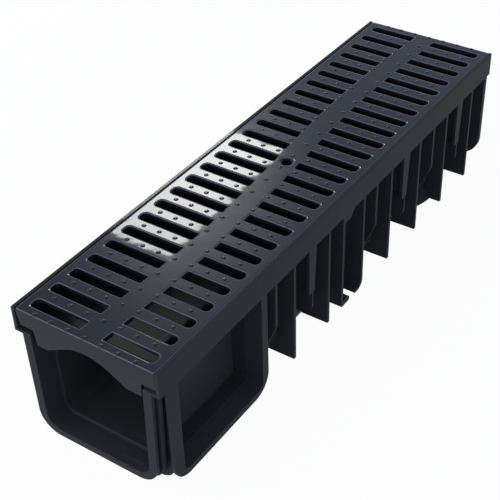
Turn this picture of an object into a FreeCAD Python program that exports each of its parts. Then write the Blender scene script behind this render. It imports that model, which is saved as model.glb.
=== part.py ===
import FreeCAD, Part
import math
import os

from FreeCAD import Vector

os.makedirs("parts", exist_ok=True)

# Overall size, all values in millimetres
LENGTH = 500.0
WIDTH = 127.0
HEIGHT = 113.5

# Rim and the ledge that the grate stands on
RIM_WALL = 2.8
RIM_DEPTH = 21.5
SEAT_PLATE = 2.0
RIM_EDGE = 0.5

# Waterway section: its walls lean in towards the floor
WATER_TOP = 92.4
WATER_BOTTOM = 88.0
FLOOR_LEVEL = 10.5
WATER_RADIUS = 8.0
TROUGH_WALL = 3.5

# Socket at the front end and spigot at the far end
SOCKET_STEP = 3.0
SOCKET_DEPTH = 18.0
SOCKET_WALL = 3.5
JOINT_CLEARANCE = 0.6
SPIGOT_LENGTH = 12.5
BAND_SIDE = 10.2
BAND_BASE = 9.2
BAND_THICKNESS = 2.5
COLLAR_SIDE = 12.8
COLLAR_BASE = 9.8
COLLAR_THICKNESS = 2.5
COLLAR_GAP = 2.5
BACK_COLLAR_SIDE = 16.4
BACK_COLLAR_RADIUS = 14.0
BACK_COLLAR_GAP = 3.5
COLLAR_WEB = 36.5

# Outside ribs: one module starts behind the front end, one behind the middle
RIB_PITCH = 25.25
RIB_THICKNESS = 3.0
FRONT_MARGIN = 36.3
MIDDLE_MARGIN = 37.6
RIB_ROOM = 20.0
RIB_KINDS = ("thin", "fin", "bar", "fin")
THIN_EDGE_END = 51.5
THIN_LEVEL = 18.5
THIN_LEAN = 12.0
BAR_WIDTH = 10.5
BAR_SLANT = 2.7
BAR_END = 49.5
BAR_WEB_END = 55.5
BAR_WEB = 2.4
BAR_LIP = 1.8
BAR_SHIFT = 0.6
GUSSET_THICKNESS = 1.8
GUSSET_LEVEL = 26.0
GUSSET_RADIUS = 11.0

# Far end flange
FLANGE_PLACE = 10.0
FLANGE_THICKNESS = 5.0
FLANGE_BASE = 7.0
FLANGE_RADIUS = 19.0

# Pair of bent plates at mid length
FRONT_PLATE = -15.0
BACK_PLATE = 17.1
PLATE_THICKNESS = 2.8
FRONT_FOOT = 5.0
FRONT_FOOT_REACH = 13.4
FRONT_FOOT_RADIUS = 2.0
BACK_FOOT = 3.0
BACK_FOOT_REACH = 13.0
BACK_FOOT_RADIUS = 8.0
TAB_DROP = 6.5
TAB_LENGTH = 8.8
TAB_SLANT = 5.4

# Side branch on the right: frame, recess and closing panel
BRANCH_PLACE = 68.5
BRANCH_OPENING = 98.8
BRANCH_BAND = 7.4
BRANCH_FRONT_BAND = 10.9
BRANCH_CORNER = 17.4
BRANCH_RADIUS = 6.5
RECESS_RADIUS = 3.0
BRANCH_FLOOR = 5.5
BRANCH_TAPER = 2.0
BRANCH_RISE = 3.0
BRANCH_SOCKET = 13.5
BRANCH_STEP = 0.2
PANEL_DEPTH = 26.5
PANEL_WALL = 3.0

# Round outlet boss under the floor, centred on one of the back ribs
BOSS_RIB = 5
BOSS_RADIUS = 54.5
BOSS_TOP_RADIUS = 41.0
BOSS_LEVEL = 1.6
BOSS_TOP = 15.2
BOSS_RING = 5.0
BOSS_RECESS = 2.4

# Grate
GRATE_GAP_LEFT = 1.1
GRATE_GAP_RIGHT = 0.3
GRATE_END_GAP = 0.3
GRATE_THICKNESS = 4.5
GRATE_EDGE = 0.8
SLOT_PITCH = 19.81
SLOT_WIDTH = 9.4
SLOT_SPAN = 108.0
SLOT_RADIUS = 3.4
WEB_WIDTH = 19.3
WEB_SWAY = 6.8
WEB_WAVE = 525.0
STUD_COLUMNS = 7
STUD_SPACING = 14.47
STUD_DIAMETER = 3.6
STUD_HEIGHT = 0.7
STUD_SINK = 0.2
STUD_SIDES = 5
SCREW_HOLE = 9.0
SCREW_SINK = 11.5
SCREW_SINK_DEPTH = 1.2
SCREW_BOSS = 16.0

# Underside of the grate; the front skirt is full on its right
SKIRT_THICKNESS = 3.0
SKIRT_DROP = 27.0
SKIRT_LEAN = 2.5
SKIRT_LEDGE = 14.2
SKIRT_SHOULDER = 46.0
SKIRT_FOOT = 44.3
FULL_LEAN = 0.0
FULL_LEDGE = 15.5
FULL_SHOULDER = 48.0
FULL_FOOT = 47.2
SHOULDER_RADIUS = 1.0
ARCH_FOOT = 34.8
ARCH_SLOPE = 0.545
ARCH_RADIUS = 40.0
ARCH_FOOT_RADIUS = 2.0
RAIL_THICKNESS = 2.5
RAIL_INSET = 0.8
RAIL_START = 6.0
GRATE_RIB = 2.5
GRATE_RIB_DEPTH = 12.0

HALF_LENGTH = LENGTH / 2
HALF_WIDTH = WIDTH / 2
STEP_LEVEL = HEIGHT - RIM_DEPTH
SEAT_LEVEL = STEP_LEVEL + SEAT_PLATE
FRONT = -HALF_LENGTH
FLANGE_START = HALF_LENGTH - FLANGE_PLACE
BRANCH_CENTRE = FRONT + BRANCH_PLACE
BOSS_CENTRE = MIDDLE_MARGIN + BOSS_RIB * RIB_PITCH
SLOT_ROWS = int(LENGTH / SLOT_PITCH)
GRATE_HALF = HALF_WIDTH - RIM_WALL - (GRATE_GAP_LEFT + GRATE_GAP_RIGHT) / 2
GRATE_SHIFT = (GRATE_GAP_LEFT - GRATE_GAP_RIGHT) / 2
NARROW_SIDE = (SKIRT_LEAN, SKIRT_LEDGE, SKIRT_SHOULDER, SKIRT_FOOT)
FULL_SIDE = (FULL_LEAN, FULL_LEDGE, FULL_SHOULDER, FULL_FOOT)
PAST = 2.0


def place(axis, level, a, b):
    """Point on the plane across an axis: (y, z), (x, z) or (x, y) within it."""
    if axis == "x":
        return Vector(level, a, b)
    if axis == "y":
        return Vector(a, level, b)
    return Vector(a, b, level)


def outline(axis, level, corners):
    """Closed wire through corners (a, b) or (a, b, radius), rounded where a radius is given."""
    points = [place(axis, level, c[0], c[1]) for c in corners]
    radii = [c[2] if len(c) > 2 else 0.0 for c in corners]
    count = len(points)
    starts = []
    ends = []
    arcs = []
    for i in range(count):
        here = points[i]
        back = (points[i - 1] - here).normalize()
        ahead = (points[(i + 1) % count] - here).normalize()
        half = back.getAngle(ahead) / 2
        reach = radii[i] / math.tan(half)
        starts.append(here + back * reach)
        ends.append(here + ahead * reach)
        middle = (back + ahead).normalize() * (radii[i] / math.sin(half) - radii[i])
        arcs.append(here + middle)
    edges = []
    for i in range(count):
        if radii[i] > 0:
            edges.append(Part.Arc(starts[i], arcs[i], ends[i]).toShape())
        following = starts[(i + 1) % count]
        if (following - ends[i]).Length > 1e-6:
            edges.append(Part.makeLine(ends[i], following))
    return Part.Wire(Part.__sortEdges__(edges))


def prism(axis, start, end, corners):
    """Solid with one outline, from one plane to another across the axis."""
    face = Part.Face(outline(axis, start, corners))
    return face.extrude(place(axis, end - start, 0, 0))


def loft(axis, sections):
    """Solid through outlines given as (level, corners)."""
    wires = [outline(axis, level, corners) for level, corners in sections]
    return Part.makeLoft(wires, True, True)


def block(x0, x1, y0, y1, z0, z1):
    return Part.makeBox(x1 - x0, y1 - y0, z1 - z0, Vector(x0, y0, z0))


def both_sides(shape):
    """The shape and its mirror image across the middle of the channel."""
    return [shape, shape.mirror(Vector(0, 0, 0), Vector(1, 0, 0))]


def trough(side, base, top, radius=None):
    """Corners of the waterway section, grown by side and base, open to the level top."""
    lean = (WATER_TOP - WATER_BOTTOM) / 2 / (SEAT_LEVEL - FLOOR_LEVEL)
    low = FLOOR_LEVEL - base
    half_low = WATER_BOTTOM / 2 + side - lean * base
    half_top = half_low + lean * (top - low)
    if radius is None:
        radius = WATER_RADIUS + side
    return [(-half_top, top), (-half_low, low, radius), (half_low, low, radius), (half_top, top)]


def rib_stations():
    """Every rib as (kind, y), as many as fit before the middle plates and the far flange."""
    stations = []
    for start, end in ((FRONT + FRONT_MARGIN, FRONT_PLATE), (MIDDLE_MARGIN, FLANGE_START)):
        count = int((end - RIB_ROOM - start) / RIB_PITCH) + 1
        for i in range(count):
            stations.append((RIB_KINDS[i % len(RIB_KINDS)], start + i * RIB_PITCH))
    return stations


def fin_corners(reach):
    return [(0, 0), (reach, 0), (reach, STEP_LEVEL), (0, STEP_LEVEL)]


def thin_corners(reach):
    """Rib that stops above the ground and leans in to the trough wall."""
    inner = WATER_BOTTOM / 2 + 1
    knee = THIN_LEVEL + (THIN_EDGE_END - THIN_LEVEL) * 0.48
    return [
        (0, STEP_LEVEL), (0, THIN_LEVEL), (inner, THIN_LEVEL),
        (reach - THIN_LEAN * 0.58, knee, THIN_LEAN), (reach, THIN_EDGE_END), (reach, STEP_LEVEL),
    ]


def rib(kind, y):
    """One rib on the right of the channel."""
    start = y - RIB_THICKNESS / 2
    end = y + RIB_THICKNESS / 2
    if kind == "fin":
        return prism("y", start, end, fin_corners(HALF_WIDTH))
    if kind == "thin":
        return prism("y", start, end, thin_corners(HALF_WIDTH))
    return bar(y + BAR_SHIFT)


def bar(y):
    """Hollow bar: outer plate with a slanting edge, two webs and a gusset behind it."""
    front = y - BAR_WIDTH / 2
    back = y + BAR_WIDTH / 2
    inside = HALF_WIDTH - RIM_WALL
    plate = prism("x", inside, HALF_WIDTH, [
        (front, STEP_LEVEL), (back, STEP_LEVEL), (back - BAR_SLANT, BAR_END), (front, BAR_END),
    ])
    webs = []
    for edge in (front + BAR_LIP, back - BAR_WEB):
        webs.append(block(0, inside, edge, edge + BAR_WEB, BAR_WEB_END, STEP_LEVEL))
    gusset = prism("y", y - GUSSET_THICKNESS / 2, y + GUSSET_THICKNESS / 2, [
        (0, STEP_LEVEL), (0, GUSSET_LEVEL), (HALF_WIDTH, GUSSET_LEVEL, GUSSET_RADIUS),
        (HALF_WIDTH, BAR_END), (inside, BAR_END), (inside, STEP_LEVEL),
    ])
    return plate.fuse(webs + [gusset])


def branch_span():
    """Y range of the branch frame."""
    front = BRANCH_CENTRE - BRANCH_OPENING / 2 - BRANCH_FRONT_BAND
    back = BRANCH_CENTRE + BRANCH_OPENING / 2 + BRANCH_BAND
    return front, back


def side_ribs():
    """Ribs on both sides; the branch takes the place of some on the right."""
    front, back = branch_span()
    solids = []
    panel_back = HALF_WIDTH - PANEL_DEPTH - PANEL_WALL
    for kind, y in rib_stations():
        right, left = both_sides(rib(kind, y))
        solids.append(left)
        if y < front or y > back:
            solids.append(right)
        elif kind == "fin":
            solids.append(block(0, panel_back, y - RIB_THICKNESS / 2, y + RIB_THICKNESS / 2,
                                0, FLOOR_LEVEL))
    return solids


def bent_plates():
    """Two plates at mid length whose feet turn towards each other, the back one in a bend."""
    thickness = PLATE_THICKNESS
    front = FRONT_PLATE - thickness / 2
    back = BACK_PLATE + thickness / 2
    front_tip = front + FRONT_FOOT_REACH
    back_tip = back - BACK_FOOT_REACH
    first = prism("x", -HALF_WIDTH, HALF_WIDTH, [
        (front, 0, FRONT_FOOT_RADIUS), (front_tip, 0, FRONT_FOOT / 2),
        (front_tip, FRONT_FOOT, FRONT_FOOT / 2), (front + thickness, FRONT_FOOT),
        (front + thickness, STEP_LEVEL), (front, STEP_LEVEL),
    ])
    second = prism("x", -HALF_WIDTH, HALF_WIDTH, [
        (back, 0, BACK_FOOT_RADIUS), (back, STEP_LEVEL), (back - thickness, STEP_LEVEL),
        (back - thickness, BACK_FOOT, BACK_FOOT_RADIUS - thickness),
        (back_tip, BACK_FOOT, BACK_FOOT / 2), (back_tip, 0, BACK_FOOT / 2),
    ])
    tab = prism("x", HALF_WIDTH - RIM_WALL, HALF_WIDTH, [
        (front, SEAT_LEVEL), (front, STEP_LEVEL - TAB_DROP),
        (front + thickness + TAB_LENGTH, STEP_LEVEL - TAB_DROP),
        (front + thickness + TAB_LENGTH + TAB_SLANT, STEP_LEVEL),
        (front + thickness + TAB_LENGTH + TAB_SLANT, SEAT_LEVEL),
    ])
    return [first, second] + both_sides(tab)


def rectangle(half_a, b0, b1, radius, centre=0.0):
    """Corners of an upright rectangle with rounded lower corners."""
    return [
        (centre - half_a, b1), (centre - half_a, b0, radius),
        (centre + half_a, b0, radius), (centre + half_a, b1),
    ]


def end_parts():
    """Front band, its socket wall and two collars; far flange and spigot."""
    socket_side = SOCKET_STEP + SOCKET_WALL
    band_end = FRONT + BAND_THICKNESS
    collar = band_end + COLLAR_GAP
    collar_end = collar + COLLAR_THICKNESS
    back_collar = collar_end + BACK_COLLAR_GAP
    wall = trough(socket_side, socket_side, STEP_LEVEL)
    solids = [
        prism("y", FRONT, band_end, trough(BAND_SIDE, BAND_BASE, STEP_LEVEL)),
        prism("y", band_end, FRONT + SOCKET_DEPTH + SOCKET_WALL, wall),
        prism("y", collar, collar_end, trough(COLLAR_SIDE, COLLAR_BASE, STEP_LEVEL)),
        prism("y", back_collar, back_collar + COLLAR_THICKNESS,
              trough(BACK_COLLAR_SIDE, COLLAR_BASE, STEP_LEVEL, BACK_COLLAR_RADIUS)),
    ]
    web_side = (BAND_SIDE + SOCKET_STEP + SOCKET_WALL) / 2
    web = prism("y", band_end, collar, trough(web_side, SOCKET_STEP, STEP_LEVEL))
    above = block(-WIDTH, WIDTH, band_end, collar, STEP_LEVEL - COLLAR_WEB, STEP_LEVEL)
    solids.append(web.common(above))
    solids.append(prism("y", FLANGE_START, FLANGE_START + FLANGE_THICKNESS,
                        rectangle(HALF_WIDTH, FLANGE_BASE, STEP_LEVEL, FLANGE_RADIUS)))
    spigot_side = SOCKET_STEP - JOINT_CLEARANCE
    spigot_top = HEIGHT - SKIRT_DROP - BAND_THICKNESS / 2
    solids.append(prism("y", FLANGE_START, HALF_LENGTH + SPIGOT_LENGTH,
                        trough(spigot_side, spigot_side, spigot_top)))
    return solids


def branch_sections(grow):
    """Recess of the side branch as lofted sections, grown outwards by a wall."""
    half = BRANCH_OPENING / 2
    depth_end = HALF_WIDTH - BRANCH_SOCKET
    panel = HALF_WIDTH - PANEL_DEPTH - grow
    inner = half - BRANCH_TAPER - BRANCH_STEP
    inner_floor = BRANCH_FLOOR + BRANCH_RISE + BRANCH_STEP
    mouth = rectangle(half + grow, BRANCH_FLOOR - grow, STEP_LEVEL, BRANCH_RADIUS + grow,
                      BRANCH_CENTRE)
    throat = rectangle(half + grow - BRANCH_TAPER, BRANCH_FLOOR - grow + BRANCH_RISE, STEP_LEVEL,
                       RECESS_RADIUS + grow, BRANCH_CENTRE)
    back = rectangle(inner + grow, inner_floor - grow, STEP_LEVEL, RECESS_RADIUS + grow,
                     BRANCH_CENTRE)
    socket = loft("x", [(HALF_WIDTH, mouth), (depth_end, throat)])
    return [socket, prism("x", panel, depth_end + PAST, back)]


def branch_frame():
    """Flat frame of the branch, flush with the rim, and the wall round its recess."""
    front, back = branch_span()
    frame = prism("x", HALF_WIDTH - RIM_WALL, HALF_WIDTH, [
        (front, STEP_LEVEL), (front, 0, BRANCH_CORNER), (back, 0, BRANCH_CORNER),
        (back, STEP_LEVEL),
    ])
    panel_back = HALF_WIDTH - PANEL_DEPTH - PANEL_WALL
    half = BRANCH_OPENING / 2 - BRANCH_TAPER - BRANCH_STEP + PANEL_WALL
    roof = block(panel_back, HALF_WIDTH - RIM_WALL, BRANCH_CENTRE - half, BRANCH_CENTRE + half,
                 STEP_LEVEL, SEAT_LEVEL)
    return frame.fuse(branch_sections(PANEL_WALL) + [roof])


def outlet_boss():
    """Shallow cone under the floor, flaring out to a ring."""
    cone = Part.makeCone(BOSS_RADIUS, BOSS_TOP_RADIUS, BOSS_TOP - BOSS_LEVEL,
                         Vector(0, BOSS_CENTRE, BOSS_LEVEL))
    disc = Part.makeCylinder(BOSS_RADIUS - BOSS_RING, BOSS_LEVEL + BOSS_RECESS,
                             Vector(0, BOSS_CENTRE, 0))
    return cone, disc


def edges_at(shape, test):
    """Edges whose vertices all pass the test."""
    return [e for e in shape.Edges if all(test(v.Point) for v in e.Vertexes)]


def near(value, target):
    return abs(value - target) < 1e-4


def channel_body():
    """Channel with rim, ledge, ribs, socket, spigot, side branch and outlet boss, one moulding."""
    rim = block(-HALF_WIDTH, HALF_WIDTH, FRONT, HALF_LENGTH, STEP_LEVEL, HEIGHT)
    corners = edges_at(rim, lambda p: near(p.z, HEIGHT) and near(abs(p.x), HALF_WIDTH))
    rim = rim.makeFillet(RIM_EDGE, corners)
    shell = prism("y", FRONT + BAND_THICKNESS, FLANGE_START + FLANGE_THICKNESS,
                  trough(TROUGH_WALL, TROUGH_WALL, STEP_LEVEL))
    cone, disc = outlet_boss()
    solids = [shell, cone] + side_ribs() + bent_plates() + end_parts()
    body = rim.fuse(solids)

    inside = HALF_WIDTH - RIM_WALL
    pocket = block(-inside, inside, FRONT - PAST, HALF_LENGTH + PAST, SEAT_LEVEL, HEIGHT + PAST)
    water = prism("y", FRONT - PAST, HALF_LENGTH + SPIGOT_LENGTH + PAST,
                  trough(0, 0, SEAT_LEVEL + PAST))
    socket = prism("y", FRONT - PAST, FRONT + SOCKET_DEPTH,
                   trough(SOCKET_STEP, SOCKET_STEP, SEAT_LEVEL + PAST))
    body = body.cut([pocket, water, socket, disc])

    body = body.fuse(branch_frame())
    body = body.cut(branch_sections(0.0))
    return body.removeSplitter()


def web_centre(y):
    """Middle of the wavy web of the grate at a place along its length."""
    return -WEB_SWAY * math.sin(2 * math.pi * y / WEB_WAVE)


def slots(top, depth):
    """Two slots in each row, on either side of the wavy web."""
    solids = []
    half = SLOT_WIDTH / 2
    for row in range(SLOT_ROWS):
        y = (row - (SLOT_ROWS - 1) / 2) * SLOT_PITCH
        for side in (-1, 1):
            outer = side * SLOT_SPAN / 2
            front = web_centre(y - half) + side * WEB_WIDTH / 2
            back = web_centre(y + half) + side * WEB_WIDTH / 2
            solids.append(prism("z", top - depth - PAST, top + PAST, [
                (outer, y - half, SLOT_RADIUS), (outer, y + half, SLOT_RADIUS),
                (back, y + half), (front, y - half),
            ]))
    return solids


def studs(top):
    """Small raised studs in rows on the bars between the slots, clear of the screw hole."""
    solids = []
    clear = (SCREW_SINK + STUD_DIAMETER) / 2
    for row in range(SLOT_ROWS + 1):
        y = (row - SLOT_ROWS / 2) * SLOT_PITCH
        for column in range(STUD_COLUMNS):
            x = (column - (STUD_COLUMNS - 1) / 2) * STUD_SPACING
            if math.hypot(x, y) > clear:
                solids.append(stud(x, y, top))
    return solids


def stud(x, y, top):
    """Small blunt point with flat sides, sunk a little into the plate."""
    radius = STUD_DIAMETER / 2
    tip = Vector(x, y, top + STUD_HEIGHT)
    turns = [2 * math.pi * i / STUD_SIDES for i in range(STUD_SIDES)]
    base = [Vector(x + radius * math.cos(t), y + radius * math.sin(t), top - STUD_SINK)
            for t in turns]
    sides = [[base[i - 1], base[i], tip] for i in range(STUD_SIDES)]
    faces = [Part.Face(Part.makePolygon(c + c[:1])) for c in sides + [base]]
    return Part.Solid(Part.Shell(faces))


def skirt_side(lean, drop, shoulder, foot):
    """Right side of an end skirt, from the plate down over its ledge to the foot."""
    ledge = HEIGHT - drop
    return [
        (GRATE_HALF, HEIGHT - GRATE_THICKNESS), (GRATE_HALF - lean, ledge),
        (shoulder, ledge, SHOULDER_RADIUS), (foot, HEIGHT - SKIRT_DROP),
    ]


def end_skirt(front, right):
    """End skirt from a plane along Y: a narrow left side, an arch and the given right side."""
    foot = HEIGHT - SKIRT_DROP
    peak = foot + ARCH_FOOT * ARCH_SLOPE
    left = [(-c[0],) + c[1:] for c in skirt_side(*NARROW_SIDE)]
    arch = [(-ARCH_FOOT, foot, ARCH_FOOT_RADIUS), (0, peak, ARCH_RADIUS),
            (ARCH_FOOT, foot, ARCH_FOOT_RADIUS)]
    return prism("y", front, front + SKIRT_THICKNESS, left + arch + skirt_side(*right)[::-1])


def grate_plate():
    """Grate: slotted plate with a wavy web, studs, end skirts, rails and ribs, one moulding."""
    half = GRATE_HALF
    end = HALF_LENGTH - GRATE_END_GAP
    top = HEIGHT
    under = top - GRATE_THICKNESS
    plate = block(-half, half, -end, end, under, top)
    rounded = edges_at(plate, lambda p: near(p.z, top))
    plate = plate.makeFillet(GRATE_EDGE, rounded)

    rail_out = half - RAIL_INSET
    parts = [end_skirt(-end, FULL_SIDE), end_skirt(end - SKIRT_THICKNESS, NARROW_SIDE)]
    parts += both_sides(block(rail_out - RAIL_THICKNESS, rail_out, -end + RAIL_START,
                              end - RAIL_START, SEAT_LEVEL, under))
    for row in range(1, SLOT_ROWS):
        y = (row - SLOT_ROWS / 2) * SLOT_PITCH
        parts.append(block(-rail_out, rail_out, y - GRATE_RIB / 2, y + GRATE_RIB / 2,
                           under - GRATE_RIB_DEPTH, under))
    parts.append(Part.makeCylinder(SCREW_BOSS / 2, GRATE_RIB_DEPTH,
                                   Vector(0, 0, under - GRATE_RIB_DEPTH)))
    plate = plate.fuse(parts)
    hole = Part.makeCylinder(SCREW_HOLE / 2, HEIGHT, Vector(0, 0, FLOOR_LEVEL))
    sink = Part.makeCylinder(SCREW_SINK / 2, SCREW_SINK_DEPTH + PAST,
                             Vector(0, 0, top - SCREW_SINK_DEPTH))
    plate = plate.cut(slots(top, GRATE_THICKNESS - PAST / 2) + [hole, sink])
    plate = plate.fuse(studs(top)).removeSplitter()
    return plate.translated(Vector(GRATE_SHIFT, 0, 0))


# The origin is under the middle of the overall length, spigot included
TO_MIDDLE = Vector(0, -SPIGOT_LENGTH / 2, 0)

nodes = {"channel_body": channel_body(), "grate": grate_plate()}
for name, shape in nodes.items():
    shape.translate(TO_MIDDLE)
    solid = shape.Solids[0] if len(shape.Solids) == 1 else shape
    if len(shape.Solids) != 1 or not solid.isValid():
        raise RuntimeError("%s: %d solids, valid %s" % (name, len(shape.Solids), shape.isValid()))
    solid.exportStep("parts/%s.step" % name)
    print(name, len(solid.Faces), "faces", solid.BoundBox)
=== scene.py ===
import math

import bpy
from mathutils import Euler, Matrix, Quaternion, Vector

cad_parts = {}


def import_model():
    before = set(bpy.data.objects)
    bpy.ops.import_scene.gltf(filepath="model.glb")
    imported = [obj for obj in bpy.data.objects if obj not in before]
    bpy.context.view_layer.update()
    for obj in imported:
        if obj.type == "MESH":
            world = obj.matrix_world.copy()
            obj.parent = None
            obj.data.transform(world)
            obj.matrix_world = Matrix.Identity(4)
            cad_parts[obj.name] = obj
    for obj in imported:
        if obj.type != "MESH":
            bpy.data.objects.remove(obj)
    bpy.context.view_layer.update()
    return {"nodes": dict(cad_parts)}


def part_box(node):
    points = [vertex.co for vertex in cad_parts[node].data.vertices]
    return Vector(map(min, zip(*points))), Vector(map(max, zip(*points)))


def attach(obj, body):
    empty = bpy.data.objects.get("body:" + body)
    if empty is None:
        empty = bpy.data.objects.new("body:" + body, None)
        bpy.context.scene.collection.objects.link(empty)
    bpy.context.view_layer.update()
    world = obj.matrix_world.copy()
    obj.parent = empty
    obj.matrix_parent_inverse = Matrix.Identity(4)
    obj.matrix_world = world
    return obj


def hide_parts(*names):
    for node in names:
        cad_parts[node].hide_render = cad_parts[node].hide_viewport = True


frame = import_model()

MM = 0.001
BODY = frame["nodes"]["channel_body"]
GRATE_LOW, GRATE_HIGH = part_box("grate")

# Camera of the photograph: place in metres, turn in degrees, lens and sensor in mm
CAMERA_PLACE = (0.41399, -0.64657, 0.61559)
CAMERA_TURN = (52.2031, 1.5047, 34.0628)
LENS = 81.942
SENSOR = 36.0
NEAREST_SEEN = 0.01

# Plate of the grate, level with the rim of the channel
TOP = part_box("channel_body")[1].z
HALF_WIDTH = (GRATE_HIGH.x - GRATE_LOW.x) / 2
HALF_LENGTH = (GRATE_HIGH.y - GRATE_LOW.y) / 2
MIDDLE = (GRATE_HIGH + GRATE_LOW) / 2
THICKNESS = 4.5 * MM
INSET = 0.04 * MM
CORNER_RADIUS = 1.3 * MM
CORNER_STEPS = 4
EDGE_ROUND = 1.2 * MM
EDGE_PROFILE = ((0.97, 0.55), (0.86, 0.78), (0.65, 0.91))

# Slots on either side of the wavy web
SLOT_PITCH = 19.81 * MM
SLOT_ROWS = 25
SLOT_WIDTH = 9.4 * MM
SLOT_SPAN = 108.0 * MM
SLOT_RADIUS = 3.4 * MM
SLOT_INNER_RADIUS = 1.0 * MM
SLOT_STEPS = 6
WEB_WIDTH = 19.3 * MM
WEB_SWAY = 6.8 * MM
WEB_WAVE = 525.0 * MM

# Screw hole with its sunk seat and its boss
HOLE_RADIUS = 4.5 * MM
HOLE_SIDES = 40
SINK_RADIUS = 5.75 * MM
SINK_DEPTH = 1.2 * MM
BOSS_RADIUS = 8.0 * MM

# Studs, with their profile as shares of radius and height
STUD_COLUMNS = 7
STUD_SPACING = 14.47 * MM
STUD_RADIUS = 2.1 * MM
STUD_HEIGHT = 0.6 * MM
STUD_SIDES = 16
STUD_PROFILE = ((1.0, -0.05), (0.93, 0.1), (0.85, 0.32), (0.72, 0.62), (0.55, 0.86), (0.3, 0.98), (0.1, 1.0))

# Rails and ribs under the plate, which reach a little into it
RIB_WIDTH = 2.5 * MM
RIB_DEPTH = 12.0 * MM
RIB_OVERLAP = 0.2 * MM
RAIL_INSET = 0.8 * MM
RAIL_START = 6.0 * MM
SEAT_LEVEL = 94.0 * MM

# End skirts; a side is its lean, the drop of its ledge, and the half widths at shoulder and foot
SKIRT_THICKNESS = 3.0 * MM
SKIRT_DROP = 27.0 * MM
SKIRT_TUCK = 1.4 * MM
SKIRT_EDGE = 0.3 * MM
SKIRT_STEPS = 12
NARROW_SIDE = (2.5 * MM, 14.2 * MM, 46.0 * MM, 44.3 * MM)
FULL_SIDE = (0.0, 15.5 * MM, 48.0 * MM, 47.2 * MM)
SHOULDER_RADIUS = 1.0 * MM
ARCH_FOOT = 34.8 * MM
ARCH_SLOPE = 0.545
ARCH_RADIUS = 40.0 * MM
ARCH_FOOT_RADIUS = 2.0 * MM

# Colours and surfaces
GRATE_COLOUR = (0.010, 0.012, 0.018)
GRATE_DARK = (0.008, 0.010, 0.015)
BODY_COLOUR = (0.032, 0.032, 0.036)
BODY_DARK = (0.028, 0.028, 0.032)
# Painted highlight: paler colour along the rounded top edges of the plate
EDGE_HIGHLIGHT_COLOUR = (0.09, 0.095, 0.11)
BLACK = (0.0, 0.0, 0.0)
WHITE = (1.0, 1.0, 1.0)
COAT_ROUGHNESS = 0.035
COAT_IOR = 1.3

# Surroundings
SKY_LOW = (0.80, 0.86, 1.0)
SKY_HIGH = (0.41, 0.455, 0.58)
FLOOR_GREY = (0.8, 0.8, 0.8)
FLOOR_REACH = 6.0
FLOOR_WHITENESS = 0.96


def corner_arc(back, here, ahead, radius, steps):
    """Points of the arc that rounds the corner at here."""
    to_back = (back - here).normalized()
    to_ahead = (ahead - here).normalized()
    half = to_back.angle(to_ahead) / 2
    centre = here + (to_back + to_ahead).normalized() * (radius / math.sin(half))
    start = here + to_back * (radius / math.tan(half)) - centre
    turn = start.angle_signed(here + to_ahead * (radius / math.tan(half)) - centre)
    points = []
    for i in range(steps + 1):
        angle = -turn * i / steps
        points.append(centre + Vector((start.x * math.cos(angle) - start.y * math.sin(angle),
                                       start.x * math.sin(angle) + start.y * math.cos(angle))))
    return points


def rounded(corners, steps):
    """Closed outline through corners (a, b) or (a, b, radius), with an arc where a radius is given."""
    points = []
    count = len(corners)
    for i, (a, b, *radius) in enumerate(corners):
        here = Vector((a, b))
        if not radius:
            points.append(here)
            continue
        back = Vector(corners[i - 1][:2])
        ahead = Vector(corners[(i + 1) % count][:2])
        points += corner_arc(back, here, ahead, radius[0], steps)
    return points


def circle(x, y, radius, sides):
    """Points of a circle round (x, y)."""
    turns = [2 * math.pi * i / sides for i in range(sides)]
    return [Vector((x + radius * math.cos(t), y + radius * math.sin(t))) for t in turns]


def area(points):
    """Area of an outline, negative where it runs clockwise."""
    total = 0.0
    for i, point in enumerate(points):
        total += points[i - 1].x * point.y - point.x * points[i - 1].y
    return total / 2


def plate_mesh(name, outer, holes, low, high, edge):
    """Flat plate with holes and rounded edges, as a mesh between two levels along Z."""
    curve = bpy.data.curves.new(name, "CURVE")
    curve.dimensions = "2D"
    curve.fill_mode = "BOTH"
    curve.extrude = (high - low) / 2 - edge
    curve.bevel_depth = edge
    curve.bevel_mode = "PROFILE"
    for along, up in EDGE_PROFILE:
        curve.bevel_profile.points.add(along, up)
    curve.bevel_profile.update()
    curve.bevel_resolution = len(EDGE_PROFILE)
    curve.offset = -edge
    for points, wanted in [(outer, 1)] + [(hole, -1) for hole in holes]:
        if area(points) * wanted < 0:
            points = points[::-1]
        spline = curve.splines.new("POLY")
        spline.points.add(len(points) - 1)
        for point, spot in zip(spline.points, points):
            point.co = (spot.x, spot.y, 0.0, 1.0)
        spline.use_cyclic_u = True
    holder = bpy.data.objects.new(name + "_outline", curve)
    bpy.context.scene.collection.objects.link(holder)
    bpy.context.view_layer.update()
    shaped = holder.evaluated_get(bpy.context.evaluated_depsgraph_get())
    mesh = bpy.data.meshes.new_from_object(shaped)
    bpy.data.objects.remove(holder)
    bpy.data.curves.remove(curve)
    for vertex in mesh.vertices:
        vertex.co.z += (low + high) / 2
    return mesh


def web_centre(y):
    """Middle of the wavy web of the grate at a place along its length."""
    return -WEB_SWAY * math.sin(2 * math.pi * y / WEB_WAVE)


def slot_outlines():
    """Outlines of the slots, on either side of the wavy web."""
    outlines = []
    half = SLOT_WIDTH / 2
    for row in range(SLOT_ROWS):
        y = (row - (SLOT_ROWS - 1) / 2) * SLOT_PITCH
        for side in (-1, 1):
            outer = side * SLOT_SPAN / 2
            front = web_centre(y - half) + side * WEB_WIDTH / 2
            back = web_centre(y + half) + side * WEB_WIDTH / 2
            outlines.append(rounded([
                (outer, y - half, SLOT_RADIUS), (outer, y + half, SLOT_RADIUS),
                (back, y + half, SLOT_INNER_RADIUS), (front, y - half, SLOT_INNER_RADIUS),
            ], SLOT_STEPS))
    return outlines


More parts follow.
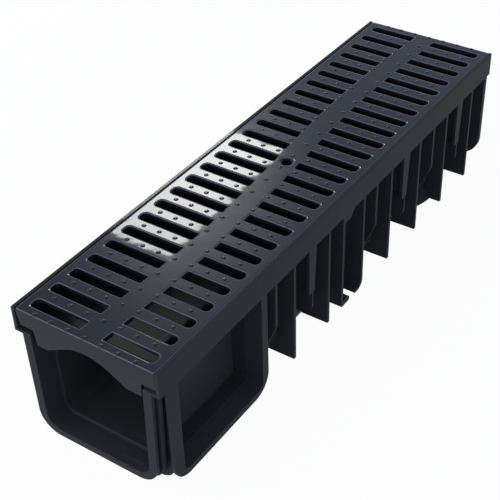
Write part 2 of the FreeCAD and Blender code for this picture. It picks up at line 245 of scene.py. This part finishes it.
def skirt_side(lean, drop, shoulder, foot):
    """Right side of an end skirt, from inside the plate down over its ledge to the foot."""
    ledge = TOP - drop
    side = HALF_WIDTH - INSET
    return [(side, TOP - SKIRT_TUCK), (side, TOP - THICKNESS), (side - lean, ledge),
            (shoulder, ledge, SHOULDER_RADIUS), (foot, TOP - SKIRT_DROP)]


def skirt_outline(right):
    """End skirt with its ledges, feet and arch, and the given right side."""
    foot = TOP - SKIRT_DROP
    peak = foot + ARCH_FOOT * ARCH_SLOPE
    left = [(-corner[0],) + corner[1:] for corner in skirt_side(*NARROW_SIDE)]
    arch = [(-ARCH_FOOT, foot, ARCH_FOOT_RADIUS), (0, peak, ARCH_RADIUS),
            (ARCH_FOOT, foot, ARCH_FOOT_RADIUS)]
    return rounded(left + arch + skirt_side(*right)[::-1], SKIRT_STEPS)


class Builder:
    """Collects vertices and faces of one mesh."""

    def __init__(self):
        self.points = []
        self.faces = []

    def add_mesh(self, mesh, place=tuple):
        """Adds a mesh, each vertex moved by place."""
        start = len(self.points)
        for vertex in mesh.vertices:
            self.points.append(place(vertex.co))
        for polygon in mesh.polygons:
            self.faces.append([start + i for i in polygon.vertices])

    def add_box(self, low, high):
        """Adds a box between two corners."""
        start = len(self.points)
        for z in (low[2], high[2]):
            for y in (low[1], high[1]):
                for x in (low[0], high[0]):
                    self.points.append((x, y, z))
        for face in ((0, 2, 3, 1), (4, 5, 7, 6), (0, 1, 5, 4), (2, 6, 7, 3), (0, 4, 6, 2), (1, 3, 7, 5)):
            self.faces.append([start + i for i in face])

    def add_rings(self, x, y, rings, sides, cap=True):
        """Adds a turned shape from (radius, level) rings about an upright axis."""
        start = len(self.points)
        for radius, level in rings:
            for spot in circle(x, y, radius, sides):
                self.points.append((spot.x, spot.y, level))
        for ring in range(len(rings) - 1):
            for i in range(sides):
                j = (i + 1) % sides
                a = start + ring * sides
                b = a + sides
                self.faces.append([a + i, a + j, b + j, b + i])
        if cap:
            last = start + (len(rings) - 1) * sides
            self.faces.append([last + i for i in range(sides)])

    def mesh(self, name):
        """The mesh of all that was added."""
        mesh = bpy.data.meshes.new(name)
        mesh.from_pydata(self.points, [], self.faces)
        mesh.validate()
        mesh.update()
        return mesh


def add_studs(builder):
    """A row of domed studs on each bar of the plate."""
    rings = [(STUD_RADIUS * out, TOP + STUD_HEIGHT * up) for out, up in STUD_PROFILE]
    for row in range(SLOT_ROWS + 1):
        y = (row - SLOT_ROWS / 2) * SLOT_PITCH
        for column in range(STUD_COLUMNS):
            x = (column - (STUD_COLUMNS - 1) / 2) * STUD_SPACING
            builder.add_rings(x, y, rings, STUD_SIDES)


def add_skirts(builder):
    """Skirts at both ends, the front one with the full right side."""
    for front, right in ((-HALF_LENGTH, FULL_SIDE), (HALF_LENGTH - SKIRT_THICKNESS, NARROW_SIDE)):
        skirt = plate_mesh("skirt", skirt_outline(right), [], 0.0, SKIRT_THICKNESS, SKIRT_EDGE)
        builder.add_mesh(skirt, lambda co: (co.x, front + SKIRT_THICKNESS - co.z, co.y))


def add_ribs(builder):
    """Side rails, a rib under each bar, and the boss round the screw hole."""
    under = TOP - THICKNESS
    rib_foot = under - RIB_DEPTH
    rib_head = under + RIB_OVERLAP
    rail = HALF_WIDTH - RAIL_INSET
    for side in (-1, 1):
        inner, outer = sorted((side * rail, side * (rail - RIB_WIDTH)))
        builder.add_box((inner, -HALF_LENGTH + RAIL_START, SEAT_LEVEL),
                        (outer, HALF_LENGTH - RAIL_START, rib_head))
    for row in range(1, SLOT_ROWS):
        y = (row - SLOT_ROWS / 2) * SLOT_PITCH
        builder.add_box((-rail, y - RIB_WIDTH / 2, rib_foot), (rail, y + RIB_WIDTH / 2, rib_head))
    seat = TOP - SINK_DEPTH
    builder.add_rings(0, 0, [(SINK_RADIUS, TOP - EDGE_ROUND), (SINK_RADIUS, seat), (HOLE_RADIUS, seat),
                             (HOLE_RADIUS, rib_foot), (BOSS_RADIUS, rib_foot), (BOSS_RADIUS, under)],
                      HOLE_SIDES, cap=False)


def grate():
    """The grate in full detail, which takes the place of the plain one."""
    end = HALF_LENGTH - INSET
    outer = rounded([(-HALF_WIDTH, -end, CORNER_RADIUS), (HALF_WIDTH, -end, CORNER_RADIUS),
                     (HALF_WIDTH, end, CORNER_RADIUS), (-HALF_WIDTH, end, CORNER_RADIUS)], CORNER_STEPS)
    holes = slot_outlines() + [circle(0, 0, SINK_RADIUS, HOLE_SIDES)]
    builder = Builder()
    builder.add_mesh(plate_mesh("plate", outer, holes, TOP - THICKNESS, TOP, EDGE_ROUND))
    add_skirts(builder)
    add_ribs(builder)
    add_studs(builder)
    mesh = builder.mesh("grate_detail")
    for vertex in mesh.vertices:
        vertex.co.x += MIDDLE.x
        vertex.co.y += MIDDLE.y
    mesh.shade_smooth()
    mesh.set_sharp_from_angle(angle=math.radians(50))
    piece = bpy.data.objects.new("grate_detail", mesh)
    bpy.context.scene.collection.objects.link(piece)
    weighted = piece.modifiers.new("even_faces", "WEIGHTED_NORMAL")
    weighted.keep_sharp = True
    weighted.weight = 100
    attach(piece, "root")
    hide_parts("grate")
    return piece


def node(tree, kind, **values):
    """New node, each value set on the socket of that name or else on the node."""
    made = tree.nodes.new(kind)
    for key, value in values.items():
        if key in made.inputs:
            made.inputs[key].default_value = value
        else:
            setattr(made, key, value)
    return made


def noise(tree, place, scale, detail):
    """Noise in the object's own coordinates."""
    made = node(tree, "ShaderNodeTexNoise", Scale=scale, Detail=detail)
    tree.links.new(place.outputs["Object"], made.inputs["Vector"])
    return made.outputs["Fac"]


def upward(tree, vector):
    """Z of a vector."""
    made = node(tree, "ShaderNodeSeparateXYZ")
    tree.links.new(vector, made.inputs[0])
    return made.outputs["Z"]


def spread(tree, value, low, high, to_low, to_high):
    """Value taken from the range low to high into the range to_low to to_high."""
    made = node(tree, "ShaderNodeMapRange", **{"From Min": low, "From Max": high,
                                               "To Min": to_low, "To Max": to_high})
    tree.links.new(value, made.inputs["Value"])
    return made.outputs["Result"]


def ramp(tree, value, stops):
    """Colour from a ramp with the given (position, colour) stops, in rising order."""
    made = node(tree, "ShaderNodeValToRGB")
    elements = made.color_ramp.elements
    while len(elements) < len(stops):
        elements.new(1.0)
    for element, (position, colour) in zip(elements, stops):
        element.position = position
        element.color = colour + (1,)
    tree.links.new(value, made.inputs["Fac"])
    return made.outputs["Color"]


def painted_edge_highlight(tree, place, colour):
    """Colour with a painted highlight: a paler line along the rounded edge of the plate's top, in place of
    the light that this edge catches.
    """
    share = spread(tree, upward(tree, place.outputs["Object"]), TOP - EDGE_ROUND, TOP, 0.0, 1.0)
    line = ramp(tree, share, ((0.3, BLACK), (0.5, WHITE), (0.9, WHITE), (0.97, BLACK)))
    pale = node(tree, "ShaderNodeMixRGB", Color2=EDGE_HIGHLIGHT_COLOUR + (1,))
    tree.links.new(line, pale.inputs["Fac"])
    tree.links.new(colour, pale.inputs["Color1"])
    return pale.outputs["Color"]


def plastic(name, colour, dark, roughness, ripple, ior, coat, edge=0.0, edge_highlight=False):
    """Moulded plastic: cloudy colour, uneven gloss, sink marks, fine grain, a glossy upper skin, and
    optionally a painted highlight along the plate's rounded top edges.
    """
    material = bpy.data.materials.new(name)
    material.use_nodes = True
    tree = material.node_tree
    shader = tree.nodes["Principled BSDF"]
    link = tree.links.new
    place = node(tree, "ShaderNodeTexCoord")

    base = ramp(tree, noise(tree, place, scale=14.0, detail=3.0), ((0.3, dark), (0.7, colour)))
    # Painted highlight along the rounded top edges of the plate
    if edge_highlight:
        base = painted_edge_highlight(tree, place, base)
    link(base, shader.inputs["Base Color"])

    wear = noise(tree, place, scale=60.0, detail=4.0)
    link(spread(tree, wear, 0.0, 1.0, roughness * 0.85, roughness * 1.2), shader.inputs["Roughness"])

    sink = node(tree, "ShaderNodeBump", Strength=ripple, Distance=1.0 * MM)
    link(noise(tree, place, scale=90.0, detail=1.0), sink.inputs["Height"])
    fine = node(tree, "ShaderNodeBump", Strength=0.05, Distance=0.2 * MM)
    link(noise(tree, place, scale=1400.0, detail=2.0), fine.inputs["Height"])
    link(sink.outputs["Normal"], fine.inputs["Normal"])
    if edge > 0:
        soft = node(tree, "ShaderNodeBevel", Radius=edge)
        soft.samples = 4
        link(soft.outputs["Normal"], sink.inputs["Normal"])
    link(fine.outputs["Normal"], shader.inputs["Normal"])
    link(sink.outputs["Normal"], shader.inputs["Coat Normal"])

    facing = node(tree, "ShaderNodeNewGeometry")
    skin = spread(tree, upward(tree, facing.outputs["Normal"]), 0.6, 0.95, 0.0, coat)
    link(skin, shader.inputs["Coat Weight"])
    shader.inputs["IOR"].default_value = ior
    shader.inputs["Coat Roughness"].default_value = COAT_ROUGHNESS
    shader.inputs["Coat IOR"].default_value = COAT_IOR
    return material


def floor():
    """Pale floor: white to the eye and in reflections, with the object's shadow on it."""
    mesh = bpy.data.meshes.new("floor")
    corners = [(-FLOOR_REACH, -FLOOR_REACH, 0), (FLOOR_REACH, -FLOOR_REACH, 0),
               (FLOOR_REACH, FLOOR_REACH, 0), (-FLOOR_REACH, FLOOR_REACH, 0)]
    mesh.from_pydata(corners, [], [(0, 1, 2, 3)])
    piece = bpy.data.objects.new("floor", mesh)
    bpy.context.scene.collection.objects.link(piece)
    material = bpy.data.materials.new("floor_white")
    material.use_nodes = True
    tree = material.node_tree
    tree.nodes.clear()
    link = tree.links.new
    lit = node(tree, "ShaderNodeBsdfDiffuse", Color=FLOOR_GREY + (1,))
    white = node(tree, "ShaderNodeEmission", Color=WHITE + (1,), Strength=1.0)
    path = node(tree, "ShaderNodeLightPath")
    seen = path.outputs["Is Camera Ray"]
    for kind in ("Is Glossy Ray", "Is Transmission Ray"):
        either = node(tree, "ShaderNodeMath", operation="MAXIMUM")
        link(seen, either.inputs[0])
        link(path.outputs[kind], either.inputs[1])
        seen = either.outputs[0]
    share = node(tree, "ShaderNodeMath", operation="MULTIPLY")
    share.inputs[1].default_value = FLOOR_WHITENESS
    link(seen, share.inputs[0])
    mix = node(tree, "ShaderNodeMixShader")
    link(share.outputs[0], mix.inputs["Fac"])
    link(lit.outputs[0], mix.inputs[1])
    link(white.outputs[0], mix.inputs[2])
    out = node(tree, "ShaderNodeOutputMaterial")
    link(mix.outputs[0], out.inputs["Surface"])
    mesh.materials.append(material)


def world():
    """Studio that is pale near the horizon and dim above, plain white to the camera."""
    studio = bpy.data.worlds.new("studio")
    bpy.context.scene.world = studio
    studio.use_nodes = True
    tree = studio.node_tree
    link = tree.links.new
    dim = tree.nodes["Background"]
    dim.inputs["Strength"].default_value = 1.0
    direction = node(tree, "ShaderNodeTexCoord")
    height = upward(tree, direction.outputs["Generated"])
    link(ramp(tree, height, ((0.1, SKY_LOW), (0.4, SKY_HIGH))), dim.inputs["Color"])
    white = node(tree, "ShaderNodeBackground", Color=WHITE + (1,), Strength=1.0)
    path = node(tree, "ShaderNodeLightPath")
    mix = node(tree, "ShaderNodeMixShader")
    link(path.outputs["Is Camera Ray"], mix.inputs["Fac"])
    link(dim.outputs[0], mix.inputs[1])
    link(white.outputs[0], mix.inputs[2])
    link(mix.outputs[0], tree.nodes["World Output"].inputs["Surface"])


def softbox(name, place, aim, width, height, power, roll=0.0):
    """Rectangular area light that faces a point, rolled about its own axis."""
    lamp = bpy.data.lights.new(name, "AREA")
    lamp.shape = "RECTANGLE"
    lamp.size = width
    lamp.size_y = height
    lamp.energy = power
    holder = bpy.data.objects.new(name, lamp)
    holder.location = place
    facing = (Vector(aim) - Vector(place)).to_track_quat("-Z", "Y")
    holder.rotation_euler = (facing @ Quaternion((0, 0, 1), math.radians(roll))).to_euler()
    bpy.context.scene.collection.objects.link(holder)


def camera():
    """The camera that took the photograph."""
    lens = bpy.data.cameras.new("camera")
    lens.sensor_width = SENSOR
    lens.lens = LENS
    lens.clip_start = NEAREST_SEEN
    holder = bpy.data.objects.new("camera", lens)
    holder.location = CAMERA_PLACE
    holder.rotation_euler = Euler([math.radians(turn) for turn in CAMERA_TURN], "XYZ")
    bpy.context.scene.collection.objects.link(holder)
    bpy.context.scene.camera = holder


def lights():
    """The lamp that the plate mirrors as its highlight, and one each above, in front and at the side."""
    softbox("softbox_back", place=(-0.933, 1.069, 1.1135), aim=(-0.933, 1.069, 0.0),
            width=0.169, height=0.488, power=4.0, roll=2.8)
    softbox("softbox_over", place=(-0.9, -0.6, 1.8), aim=(0, 0, 0), width=0.7, height=1.6, power=8.0)
    softbox("softbox_front", place=(-0.5, -2.2, 0.5), aim=(0, 0, 0), width=1.2, height=0.8, power=21.0)
    softbox("softbox_side", place=(1.6, -0.65, 0.65), aim=(0, 0, 0), width=1.0, height=0.8, power=4.2)


camera()
floor()
world()
lights()

# The grate's plastic carries the painted highlight along the plate's rounded top edges
grate().data.materials.append(plastic(
    "grate_plastic", GRATE_COLOUR, GRATE_DARK,
    roughness=0.24, ripple=0.035, ior=1.22, coat=1.0, edge_highlight=True))
BODY.data.materials.clear()
BODY.data.materials.append(plastic(
    "channel_plastic", BODY_COLOUR, BODY_DARK,
    roughness=0.34, ripple=0.03, ior=1.07, coat=0.5, edge=0.4 * MM))

bpy.context.scene.view_settings.view_transform = "Standard"
